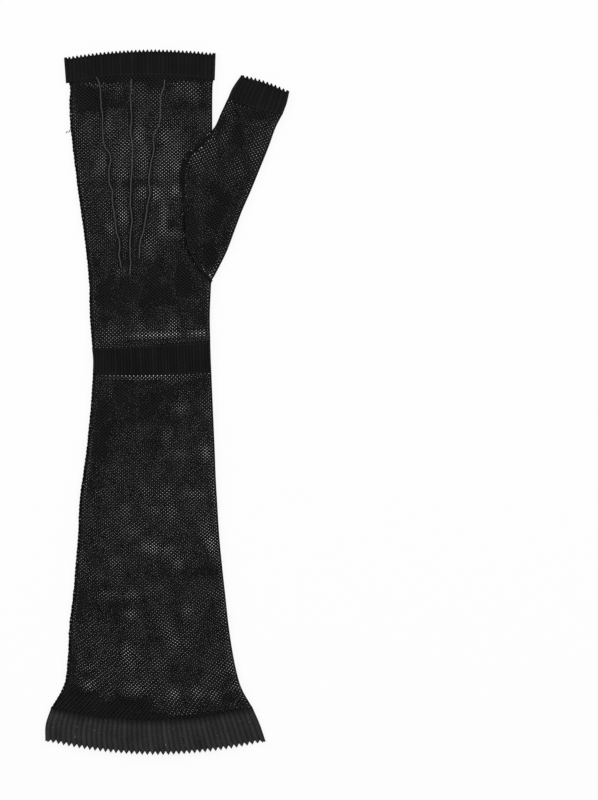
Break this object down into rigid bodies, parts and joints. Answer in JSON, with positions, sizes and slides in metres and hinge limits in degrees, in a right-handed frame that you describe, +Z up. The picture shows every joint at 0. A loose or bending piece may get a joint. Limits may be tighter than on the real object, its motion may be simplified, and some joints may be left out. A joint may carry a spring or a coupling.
{
  "type": "evening mitten",
  "caption": "Elbow-length fingerless evening mitten in black knitted net, left hand, laid flat, with toothed bands at fingers and thumb, a ribbed wrist and a flared ribbed cuff.",
  "frame": {"origin": "middle of the bottom of the bounding box, on the surface that the mitten lies on", "axes": "+Y runs from the elbow to the fingers, +X to the thumb side, +Z up out of the back of the hand"},
  "size_m": [0.1442, 0.4158, 0.0094],
  "materials": {
    "net": "matte",
    "band": "matte",
    "cuff": "matte",
    "cord": "satin"
  },
  "bodies": {
    "root": {"hand_net": "net", "thumb_net": "net", "forearm_net": "net", "finger_band": "band", "thumb_band": "band", "wrist_band": "band", "hand_side_seam": "band", "forearm_side_seam": "band", "elbow_cuff": "cuff", "point_outer": "cord", "point_middle": "cord", "point_inner": "cord"}
  },
  "joints": []
}
